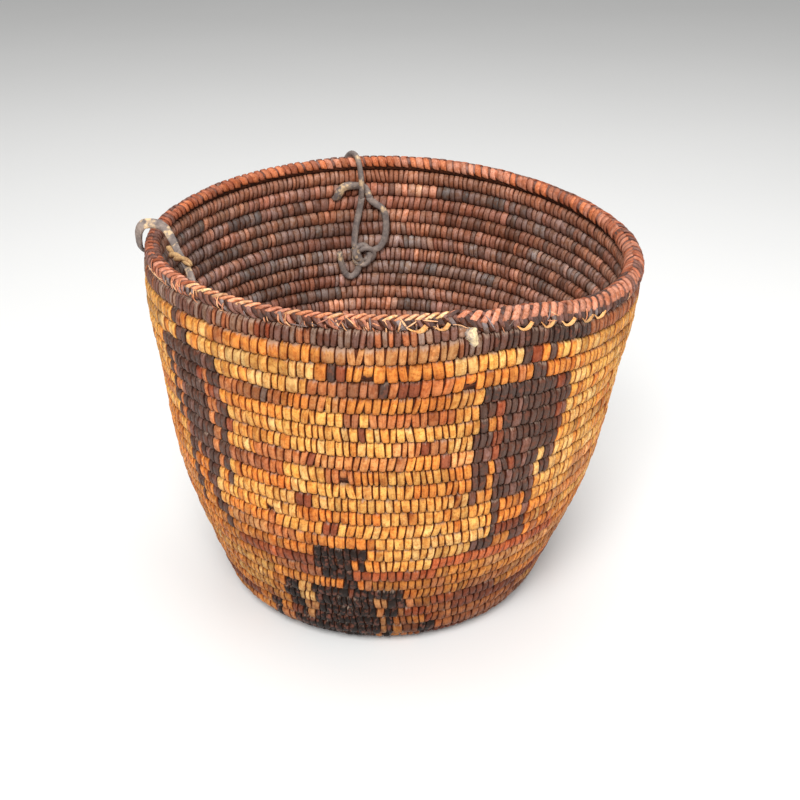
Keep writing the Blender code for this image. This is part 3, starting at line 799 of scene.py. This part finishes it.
def round_rim(share, angle, proud=0.0):
    """Points on the braid that share of the way round from its step, at an angle up from straight out."""
    share = share % 1

    def at(turns):
        radius = np.interp(END_TURNS - turns, *np.array(RIM_RADII).T)
        lift = COIL_RADIUS * thickness_at(turns) + radius + 0.0003
        return beside_coil(turns, lift + (radius + proud) * np.sin(angle), (radius + proud) * np.cos(angle))

    step = np.clip(share / RIM_STEP, 0, 1)[..., None]
    return at(END_TURNS + 0 * share) * (1 - step) + at(TOP_START + np.maximum(share, RIM_STEP)) * step


strap_points, strap_faces, strap_pattern = flat_strip(10)
plaiting = np.random.default_rng(23)
plait_widths = plaiting.uniform(0.88, 1.12, PLAIT_COUNT)
plait_places = (np.cumsum(plait_widths) - plait_widths / 2) / plait_widths.sum()
plait_azimuths = within_half_turn(END_DEGREES + 360 * plait_places)
# How plump the braid is, how wide its splints are drawn, and how high their zigzag lies, on the way round
ROUND = (0.0, 0.02, 0.13, 0.2, 0.72, 0.8, 0.86, 1.0)


def round_braid(*values):
    return np.interp(plait_places, ROUND, values)[:, None]


plumpness = round_braid(0.8, 1.4, 1.4, 0.5, 0.5, 0.8, 1.0, 1.0)
strap_half = round_braid(0.34, 0.4, 0.41, 0.46, 0.46, 0.4, 0.32, 0.32)
zigzag = round_braid(16, 4, 6, 14, 14, 18, 27, 30)
slope = round_braid(0.9, 0.85, 0.8, 0.5, 0.5, 0.8, 1.0, 1.0)


def plait(name, low, high, lean, tooth, colours, sunk=0.0, wide=1.0, ragged=0.1):
    """One row of the braid, from a low to a high angle round the rim, leaning along it by a length."""
    across, along = strap_points[:, 0], (strap_points[:, 1] + 1) / 2
    middle, edge = np.abs(across) < 0.4, np.abs(across) > 0.9
    ends = np.clip((np.abs(along - 0.5) - 0.38) / 0.12, 0, 1) ** 1.5
    place = np.where(edge, 1.0, np.where(middle, 0.0, 0.78)) * np.sign(across)
    crown = np.where(edge, -1.6, np.where(middle, 1.0, 0.6))
    angle = low + (high - low) * along + tooth * place * (1 - along * 0.6)
    widths = (plait_widths / plait_widths.sum())[:, None]
    jitter = plaiting.normal(0, 1, (PLAIT_COUNT, 1))
    drawn = wide * plaiting.uniform(1 - ragged, 1 + 0.3 * ragged, (PLAIT_COUNT, 1))
    angle = angle + plaiting.normal(0, 16 * ragged, (PLAIT_COUNT, 1)) * (1 - along)
    share = plait_places[:, None] + place * widths * strap_half * drawn * (1 - 0.3 * ends)
    share = share + lean / RIM_LENGTH * slope * (along - 0.5) + jitter * 0.0005
    proud = PLAIT_CROWN * plumpness * crown + jitter * 0.0001 - 0.0007 * ends - 0.0001 - sunk
    points = round_rim(share, np.radians(angle) + jitter * 0.04, proud)
    # Painted light and shade along each strap: lighter towards one end, mostly the higher one, and painted
    # shade at both ends where they tuck under
    shade = (1 + plaiting.normal(0.05, 0.08, (PLAIT_COUNT, 1)) * (along - 0.5) * 2) * (1 - 0.5 * ends)
    dye_and_painted_shade = linear(colours)[:, None] * shade[..., None] ** np.array([1, 1.25, 1.4])
    chance = plaiting.random(PLAIT_COUNT)
    splint_piece(name, ["rim_braid"], points, strap_faces, strap_pattern, dye_and_painted_shade, chance)


def plait_colours(names_by_place):
    """A colour for each splint of a row: one of those that are found from that azimuth on."""
    colours = []
    for azimuth in plait_azimuths:
        names = [names for start, names in names_by_place if azimuth >= start][-1].split()
        colour = np.array(RIM_COLOURS[names[plaiting.integers(len(names))]])
        colours.append(colour * (1 + plaiting.normal(0, 0.06)))
    return np.clip(colours, 0, 250)


core_places = np.linspace(0, 1, 192, endpoint=False)[:, None]
core_angles = ring_angles(10)
core_depth = -0.0008 + 0.0010 * np.maximum(0, -np.sin(core_angles))
core_points = round_rim(core_places, core_angles, core_depth)
core = solid_mesh("rim_core", core_points, tube_sides(192, 10, closed=True).tolist(), fibres)
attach(core, "basket")
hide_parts("rim_braid")
plait("rim_under_row", -70, 190, -0.0080, 0, plait_colours(UNDER_ROW), sunk=0.00045, wide=1.15)
plait("rim_lower_row", -98, zigzag + 26, -0.0036, 12, plait_colours(LOWER_ROW), wide=0.72, ragged=0.4)
plait("rim_upper_row", zigzag - 4, 104, 0.0046, -6, plait_colours(UPPER_ROW), wide=0.9)
plait("rim_inner_row", 84, 208, -0.0034, -12, plait_colours(INNER_ROW), sunk=0.0001, wide=1.05)

# Loose ends: where a splint gives out, its end stands off under the braid as a pale hook or a sliver.
# They are the same split root, cut short and never trimmed.
HOOK_COLOUR = (244, 186, 122)
# Each hook's share of the way round the rim
HOOKS = (0.0377, 0.0530, 0.0680, 0.0838, 0.0955, 0.9905, 0.9775)
# A hook's bends: millimetres along the rim, the angle up, millimetres off the braid, and half its width
HOOK_BENDS = (
    (-3.7, -24, 0.1, 0.25),
    (-2.3, -37, 0.7, 0.32),
    (-0.8, -50, 1.0, 0.5),
    (0.5, -50, 1.1, 0.85),
    (1.6, -35, 0.9, 1.0),
    (2.7, -13, 0.3, 0.85),
)
# Slivers from an azimuth to another, in degrees, and their count
SLIVER_PLACES = ((-158, -112, 36), (-112, -79, 58), (-77, -20, 18))
SLIVER_NAMES = ("worn", "worn", "peach", "pink", "plum", "stone")
END_THICKNESS = 0.00014


def strip_rings(points, sideways, half_width, half_thickness):
    """Rings of six points for thin flat strips that follow these points, one strip to a row."""
    ahead = unit(np.gradient(points, axis=1))
    wide = unit(sideways - (sideways * ahead).sum(-1, keepdims=True) * ahead)
    thick = np.cross(ahead, wide)
    angle = ring_angles(6)
    rings = wide[..., None, :] * (np.cos(angle)[:, None] * half_width[..., None, None])
    rings = points[..., None, :] + rings
    return rings + thick[..., None, :] * (np.sin(angle)[:, None] * half_thickness)


def loose_ends(name, points, sideways, half_width, colours):
    count, rows = points.shape[:2]
    rings = strip_rings(points, sideways, half_width, END_THICKNESS)
    sides = tube_sides(rows, 6)
    pattern = np.tile([0.5, 0.5], (len(sides) * 4, 1))
    dye_and_painted_shade = np.repeat(linear(colours)[:, None], rows * 6, axis=1)
    points = rings.reshape(count, rows * 6, 3)
    splint_piece(name, ["rim_braid"], points, sides, pattern, dye_and_painted_shade, plaiting.random(count))


bends = np.array(HOOK_BENDS)
fine = np.linspace(0, len(bends) - 1, 14)
along, angles, stand_off, widths = (np.interp(fine, np.arange(len(bends)), column) for column in bends.T)
hook_size = plaiting.uniform(0.75, 1.1, (len(HOOKS), 1))
hook_share = np.array(HOOKS)[:, None] + along * hook_size * MM / RIM_LENGTH
hook_points = round_rim(hook_share, np.radians(angles), stand_off * MM)
hook_out = round_rim(hook_share, np.radians(angles + 60), stand_off * MM) - hook_points
hook_colours = np.array([HOOK_COLOUR] * len(HOOKS)) * plaiting.uniform(0.85, 1.08, (len(HOOKS), 1))
loose_ends("splint_hooks", hook_points, hook_out, widths * hook_size * MM, np.clip(hook_colours, 0, 250))

sliver_azimuth = np.concatenate([plaiting.uniform(*place) for place in SLIVER_PLACES])
sliver_count = len(sliver_azimuth)
sliver_share = (sliver_azimuth - END_DEGREES) % 360 / 360
step = np.linspace(-1, 1, 7)
sliver_length = plaiting.uniform(0.0010, 0.0030, (sliver_count, 1))
sliver_lean = plaiting.normal(-0.45, 0.6, (sliver_count, 1))
sliver_angle = np.radians(plaiting.uniform(-66, 22, (sliver_count, 1)))
sliver_places = sliver_share[:, None] + step * sliver_length * np.sin(sliver_lean) / RIM_LENGTH
sliver_angles = sliver_angle + step * sliver_length * np.cos(sliver_lean) / BRAID_RADIUS
sliver_off = 0.0005 + 0.0005 * step * plaiting.uniform(-1, 1, (sliver_count, 1))
sliver_points = round_rim(sliver_places, sliver_angles, sliver_off)
sliver_side = round_rim(sliver_places + 0.004, sliver_angles, 0.0005) - sliver_points
sliver_width = plaiting.uniform(0.00016, 0.0004, (sliver_count, 1)) * (1 - 0.5 * step**2)
sliver_names = [SLIVER_NAMES[plaiting.integers(len(SLIVER_NAMES))] for _ in range(sliver_count)]
sliver_colours = np.array([RIM_COLOURS[name] for name in sliver_names], float)
loose_ends("splint_slivers", sliver_points, sliver_side, sliver_width, sliver_colours)

# The left tie: a flat strap of dried hide that comes out through the top course, arches over the rim
# and runs down inside to its second slot. It is stiff, grey, and worn pale on its bends.
STRAP_WIDTH = 0.0048
STRAP_THICKNESS = 0.0018
STRAP_TWIST = math.radians(51.0)
# The strap's way: azimuth, courses below the top one, millimetres out, and share of its full width
STRAP_ROUTE = (
    (188.0, -0.47, -0.5, 0.72),
    (188.0, -0.47, 2.6, 0.74),
    (188.6, -0.74, 4.5, 0.80),
    (190.0, -1.4, 5.1, 0.86),
    (191.0, -2.1, 4.9, 0.92),
    (191.3, -2.52, 3.3, 0.96),
    (191.5, -2.62, 0.2, 0.96),
    (191.7, -2.55, -2.9, 0.92),
    (192.2, -2.3, -5.2, 0.84),
    (193.8, -2.0, -6.7, 0.78),
    (197.0, -1.8, -7.6, 0.72),
    (201.5, -1.58, -8.0, 0.66),
    (206.6, -1.35, -8.1, 0.62),
    (211.0, -1.0, -8.0, 0.64),
    (214.0, -0.5, -7.3, 0.84),
    (215.3, 0.1, -6.0, 0.78),
    (215.6, 0.46, -3.6, 0.74),
    (215.6, 0.5, -0.5, 0.72),
)


def on_wall(azimuth_degrees, below, out):
    """A point at an azimuth, courses below the top one and millimetres out from the wall's middle."""
    azimuth = math.radians(azimuth_degrees)
    behind = ((END_AZIMUTH - azimuth) % (2 * math.pi)) / (2 * math.pi)
    turns = np.array(END_TURNS - behind - max(below, 0))
    return Vector(beside_wall(turns, azimuth, max(-below, 0) * COURSE_PITCH, out * MM))


def smooth_route(route, spacing):
    """Points a set distance apart on a smooth curve through a route; more values ride along."""
    route = [np.array(place, float) for place in route]
    ends = [route[0] * 2 - route[1], *route, route[-1] * 2 - route[-2]]
    fine = []
    for before, start, end, after in zip(ends, ends[1:], ends[2:], ends[3:]):
        for t in np.arange(20) / 20:
            bend = (2 * before - 5 * start + 4 * end - after) * t**2
            turn = (3 * start - before - 3 * end + after) * t**3
            fine.append((2 * start + (end - before) * t + bend + turn) / 2)
    fine = np.array([*fine, route[-1]])
    lengths = np.append(0, np.cumsum(np.linalg.norm(np.diff(fine[:, :3], axis=0), axis=1)))
    marks = np.linspace(0, lengths[-1], max(round(lengths[-1] / spacing), 2) + 1)
    return np.stack([np.interp(marks, lengths, column) for column in fine.T], axis=-1)


def hide_material(name, ground, pale, streaks, spread=0.0):
    """Dry hide: mottled grey and brown, cream where it is worn, with fine creases."""
    surface = Surface(name, 0.72, 0.3)
    creases = surface.noise(900, 4, 0.7)
    blotch = surface.stretch(surface.noise(260, 4, 0.6), 0.38, 0.62, 0, 1)
    colour = surface.blend(blotch, opaque(ground), opaque(streaks))
    worn = surface.reckon("MULTIPLY_ADD", surface.attribute("wear"), 0.42, surface.noise(520, 3))
    worn = surface.stretch(worn, 0.80 - 0.2 * spread, 1.02 - 0.16 * spread, 0, 0.9)
    colour = surface.blend(worn, colour, opaque(pale))
    colour = surface.darken(1, colour, surface.grey(surface.stretch(creases, 0.3, 0.7, 0.72, 1.15)))
    return surface.finish(creases, 0.0003, Base_Color=colour)


hide = hide_material("dry_hide", (112, 101, 97), (224, 190, 146), (150, 134, 124))


def thong(name, route, radius, flat=0.0, tilts=None, sizes=None, worn=(), rough=0.00012, seed=0,
          closed=False, paint=hide):
    """A strip or cord of hide along a route, as a mesh, uneven from drying and pale at its worn places."""
    curve = bpy.data.curves.new(name, "CURVE")
    curve.dimensions = "3D"
    curve.bevel_depth = radius
    curve.bevel_resolution = 3
    curve.extrude = flat
    curve.use_fill_caps = not closed
    spline = curve.splines.new("POLY")
    spline.points.add(len(route) - 1)
    for index, point in enumerate(spline.points):
        point.co = (*route[index][:3], 1)
        point.tilt = 0.0 if tilts is None else tilts[index]
        point.radius = 1.0 if sizes is None else sizes[index]
    spline.use_cyclic_u = closed
    made = bpy.data.objects.new(name, curve)
    bpy.context.scene.collection.objects.link(made)
    bpy.ops.object.select_all(action="DESELECT")
    bpy.context.view_layer.objects.active = made
    made.select_set(True)
    bpy.ops.object.convert(target="MESH")
    made = bpy.context.object
    face_outwards(made, weld=1e-6)
    bpy.ops.object.shade_smooth()
    line = np.array([place[:3] for place in route])
    share = np.linspace(0, 1, len(line))
    wear = np.zeros(len(made.data.vertices), np.float32)
    for index, vertex in enumerate(made.data.vertices):
        there = share[np.argmin(((line - np.array(vertex.co)) ** 2).sum(-1))]
        rubbed = [math.exp(-(((there - spot) / spread) ** 2)) for spot, spread in worn]
        wear[index] = max(rubbed, default=0.0)
        swell = noise.noise(vertex.co * 420 + Vector((seed, 0, 0))) + 0.5 * noise.noise(vertex.co * 1100)
        vertex.co += vertex.normal * (swell * rough)
    point_values(made.data, "wear", wear)
    made.data.materials.append(paint)
    made.select_set(False)
    return made


route = smooth_route([(*on_wall(*place[:3]), place[3]) for place in STRAP_ROUTE], 0.0007)
tilts = math.pi / 2 + STRAP_TWIST * np.linspace(0, 1, len(route))
left_strap = thong(
    "left_hide_strap",
    route,
    STRAP_THICKNESS / 2,
    (STRAP_WIDTH * 0.86 - STRAP_THICKNESS) / 2,
    tilts,
    route[:, 3],
    worn=((0.28, 0.05), (0.4, 0.05), (0.52, 0.02), (0.78, 0.05)),
)
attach(left_strap, "basket")
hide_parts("left_strap")

# The cream end of the same tie, twisted of two plies. It crosses over the strap and lies beside its inner
# run. Its way: azimuth, courses below the top one, and millimetres out
CORD_ROUTE = (
    (195.5, -1.40, -6.2),
    (198.8, -1.26, -6.8),
    (205.0, -1.43, -6.6),
    (208.2, -1.53, -7.4),
    (210.7, -1.51, -8.0),
    (211.4, -1.33, -8.8),
)
PLY_RADIUS = 0.0011
PLY_TWISTS = 1.5


def wall_line(places, spacing, more=()):
    """A smooth line along places on the wall, and on through more points in space."""
    points = [on_wall(*place) for place in places]
    return smooth_route([tuple(point) for point in (*points, *more)], spacing)


cord_line = wall_line(CORD_ROUTE, 0.0006)
cream_hide = hide_material("cream_hide", (202, 164, 114), (236, 204, 156), (152, 112, 74))
ahead = unit(np.gradient(cord_line, axis=0))
side = unit(np.cross(ahead, (0, 0, 1)))
up = np.cross(side, ahead)
apart = np.linspace(0.0008, 0.0005, len(cord_line))[:, None]
ends = np.clip(np.minimum(np.linspace(0.3, 8, len(cord_line)), np.linspace(8, 0.3, len(cord_line))), 0.35, 1)
ends = ends * np.linspace(1.25, 0.7, len(cord_line))
for ply in (0, 1):
    turn = np.linspace(0, PLY_TWISTS * 2 * math.pi, len(cord_line))[:, None] + math.pi * ply
    ply_line = cord_line + (np.cos(turn) * side + np.sin(turn) * up) * apart
    piece = thong(f"cream_ply_{ply}", ply_line, PLY_RADIUS, sizes=ends, seed=5 + ply, paint=cream_hide)
    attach(piece, "basket")

# The rear tie: a thin hide thong turned round the rim and back in through the wall. Its two strands
# hang down inside to a loose knot, and one of them curls up again below it.
THONG_RADIUS = 0.00125
THONG_FLAT = 0.0004
KNOT_THONG_RADIUS = 0.00135
# Routes: azimuth, courses below the top one, and millimetres out
REAR_TIE_ROUTE = (
    (99.9, 1.50, -6.1),
    (99.95, 1.0, -6.6),
    (100.0, 0.55, -7.1),
    (100.1, 0.0, -6.9),
    (100.3, -0.6, -5.6),
    (100.7, -1.15, -4.6),
    (101.2, -1.55, -2.6),
    (102.0, -1.68, 0.3),
    (102.8, -1.45, 3.1),
    (103.5, -0.95, 4.7),
    (104.3, -0.3, 4.7),
    (105.3, 0.5, 4.5),
    (106.4, 1.15, 4.5),
    (107.1, 1.45, 3.2),
    (107.3, 1.5, 0.9),
    (107.3, 1.5, -1.6),
    (107.1, 1.42, -3.6),
    (106.6, 1.05, -4.6),
    (105.6, 0.68, -4.4),
    (104.0, 0.52, -4.3),
    (102.0, 0.53, -4.3),
    (100.0, 0.56, -4.3),
    (98.9, 0.66, -4.4),
    (98.1, 0.95, -4.9),
    (97.5, 1.38, -6.0),
    (97.4, 1.50, -6.1),
)
# The tie's share of its full thickness along it: fuller where it crosses inside, thin at its two ends
TIE_SIZES = (
    (0, 0.7),
    (0.02, 1),
    (0.1, 1),
    (0.66, 1),
    (0.72, 1.3),
    (0.84, 1.3),
    (0.9, 1),
    (0.98, 1),
    (1, 0.7),
)
KNOT_PLACE = (99.2, 5.9, -5.6)
LEFT_STRAND = (
    (99.9, 1.38, -6.1),
    (100.0, 1.74, -5.9),
    (100.6, 2.6, -5.7),
    (101.5, 3.7, -5.6),
    (102.0, 4.6, -5.6),
)
RIGHT_STRAND = (
    (97.5, 1.38, -6.1),
    (97.1, 1.62, -5.9),
    (95.5, 1.95, -5.8),
    (93.5, 2.3, -5.7),
    (92.4, 2.9, -5.6),
    (92.1, 3.7, -5.6),
    (92.4, 4.6, -5.6),
    (93.8, 5.3, -5.6),
)
# Bends in millimetres right of the knot's middle, up and off the wall
THROUGH_KNOT = ((-4.2, 4.6), (-3.2, 1.4), (-2.0, -1.8), (-2.2, -5.2))
TAIL_BENDS = (
    (-3.4, -8.8, 0.0),
    (-6.2, -10.8, 0.3),
    (-9.0, -9.2, 0.6),
    (-10.6, -5.2, 0.8),
    (-11.4, -1.0, 1.0),
    (-12.0, 2.4, 1.4),
)
INTO_KNOT = ((5.2, 2.2), (3.4, -0.6), (1.0, -3.2))


def by_knot(side, up, inward=0.0):
    """A point millimetres to the right of the knot's middle as seen from inside, up, and off the wall."""
    azimuth = math.radians(KNOT_PLACE[0])
    along = Vector((math.sin(azimuth), -math.cos(azimuth), 0))
    away = Vector((-math.cos(azimuth), -math.sin(azimuth), 0))
    return on_wall(*KNOT_PLACE) + (along * side + Vector((0, 0, up)) + away * inward) * MM


route = wall_line(REAR_TIE_ROUTE, 0.0008)
along_tie = np.linspace(0, 1, len(route))
swell = np.interp(along_tie, *np.array(TIE_SIZES).T)
worn_places = ((0.1, 0.04), (0.26, 0.04), (0.78, 0.08), (0.97, 0.02))
rear_tie = thong("rear_hide_tie", route, THONG_RADIUS, THONG_FLAT, sizes=swell, worn=worn_places, seed=1)
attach(rear_tie, "basket")
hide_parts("rear_tie")

# The knot, a loose trefoil: its loops' middle distance from the knot's, how far they go in and out from
# there, and how far they pass over and under each other, in millimetres
LOOP_MIDDLE = 4.1
LOOP_REACH = 1.1
LOOP_DEPTH = 0.95
knot_line = []
for turn in ring_angles(96):
    reach = LOOP_MIDDLE + LOOP_REACH * math.cos(3 * turn)
    right, rise = reach * math.cos(2 * turn), reach * math.sin(2 * turn)
    knot_line.append(by_knot(right, rise, LOOP_DEPTH * math.sin(3 * turn)))
knot_line = np.array(knot_line)
worn_places = ((0.3, 0.08), (0.8, 0.08))
knot = thong("rear_hide_knot", knot_line, KNOT_THONG_RADIUS, worn=worn_places, seed=2, closed=True)
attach(knot, "hanging_thong")
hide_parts("rear_tie_knot")

left_line = wall_line(LEFT_STRAND, 0.0014, [by_knot(*bend) for bend in (*THROUGH_KNOT, *TAIL_BENDS)])
right_line = wall_line(RIGHT_STRAND, 0.0014, [by_knot(*bend) for bend in INTO_KNOT])
left_strand = thong("left_strand_and_tail", left_line, THONG_RADIUS, THONG_FLAT,
                    worn=((0.45, 0.05), (0.97, 0.06)), seed=3, rough=0.0001)
right_strand = thong("right_strand", right_line, THONG_RADIUS, THONG_FLAT,
                     worn=((0.24, 0.06),), seed=4, rough=0.0001)
for strand, line, nodes, end in (
    (left_strand, left_line, ("rear_tie_left_strand", "rear_tie_tail"), "bare"),
    (right_strand, right_line, ("rear_tie_right_strand",), "knot"),
):
    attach(strand, "hanging_thong")
    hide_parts(*nodes)

# The front tie: the worn-off end of a hide tie, a pale lump that stands out just under the braid.
# It is dry hide like the others, drawn through the wall and broken off short.
STUB_PLACE = (-74.7, -0.62, 1.4)
# Its rings in millimetres: down from its middle, half width, half depth, and aside
STUB_RINGS = (
    (-3.0, 1.4, 1.0, 0.9),
    (-2.4, 2.1, 2.0, 0.5),
    (-1.0, 2.3, 2.6, 0.3),
    (1.2, 2.0, 2.4, 0.9),
    (3.2, 1.9, 1.9, 1.4),
    (4.0, 1.5, 1.2, 1.6),
)
azimuth = math.radians(STUB_PLACE[0])
away = np.array((math.cos(azimuth), math.sin(azimuth), 0))
along = np.array((-math.sin(azimuth), math.cos(azimuth), 0))
stub_middle = np.array(on_wall(*STUB_PLACE))
angle = ring_angles(12)[:, None]
rings = []
for down, half_width, half_depth, shift in STUB_RINGS:
    ring = stub_middle + (0, 0, -down * MM) + along * shift * MM
    rings.append(ring + np.cos(angle) * along * half_width * MM + np.sin(angle) * away * half_depth * MM)
pale_hide = hide_material("pale_hide_end", (146, 134, 126), (232, 206, 160), (190, 162, 140), spread=1.0)
stub = solid_mesh("front_hide_end", np.array(rings), tube_faces(len(rings), 12), pale_hide)
face_outwards(stub)
bpy.context.view_layer.objects.active = stub
stub.select_set(True)
rounding = stub.modifiers.new("rounding", "SUBSURF")
rounding.levels = 2
rounding.render_levels = 2
bpy.ops.object.modifier_apply(modifier="rounding")
for vertex in stub.data.vertices:
    bulge = noise.noise(vertex.co * 450) * 0.0009 + noise.noise(vertex.co * 1300) * 0.0004
    vertex.co += vertex.normal * bulge
wear = []
for vertex in stub.data.vertices:
    aside = float(np.dot(np.array(vertex.co) - stub_middle, along))
    wear.append(max(0.0, min(1.0, 0.75 + 420 * aside)))
point_values(stub.data, "wear", wear)
stub.select_set(False)
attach(stub, "basket")
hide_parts("front_tie_stub")

# The floor and the light: a pale matt table in a softly lit studio, with the main light high in front,
# a weak one at the right and one from above.
bpy.ops.mesh.primitive_plane_add(size=12, location=(0, 0, -0.0002))
floor = bpy.context.object
floor.name = "floor"
floor_surface = Surface("pale_floor", 0.9, 0.1)
floor_colour = floor_surface.blend(floor_surface.noise(3, 2), (0.80, 0.80, 0.79, 1), (0.84, 0.84, 0.83, 1))
floor.data.materials.append(floor_surface.finish(Base_Color=floor_colour))

LIT_PLACE = (0, 0, 0.08)
world = bpy.data.worlds.new("studio")
bpy.context.scene.world = world
world.use_nodes = True
world.node_tree.nodes["Background"].inputs["Color"].default_value = (1, 1, 1, 1)
world.node_tree.nodes["Background"].inputs["Strength"].default_value = 0.4

for name, place, size, power in (
    ("key_light", (-0.15, -0.93, 1.05), 0.6, 18.6),
    ("fill_light", (0.85, -0.5, 0.6), 0.8, 3.2),
    ("top_light", (0.0, 0.25, 1.2), 0.8, 6.0),
):
    bpy.ops.object.light_add(type="AREA", location=place)
    lamp = bpy.context.object
    lamp.name = name
    lamp.data.size = size
    lamp.data.energy = power
    lamp.rotation_euler = (Vector(LIT_PLACE) - Vector(place)).to_track_quat("-Z", "Y").to_euler()

bpy.context.scene.view_settings.view_transform = "Standard"
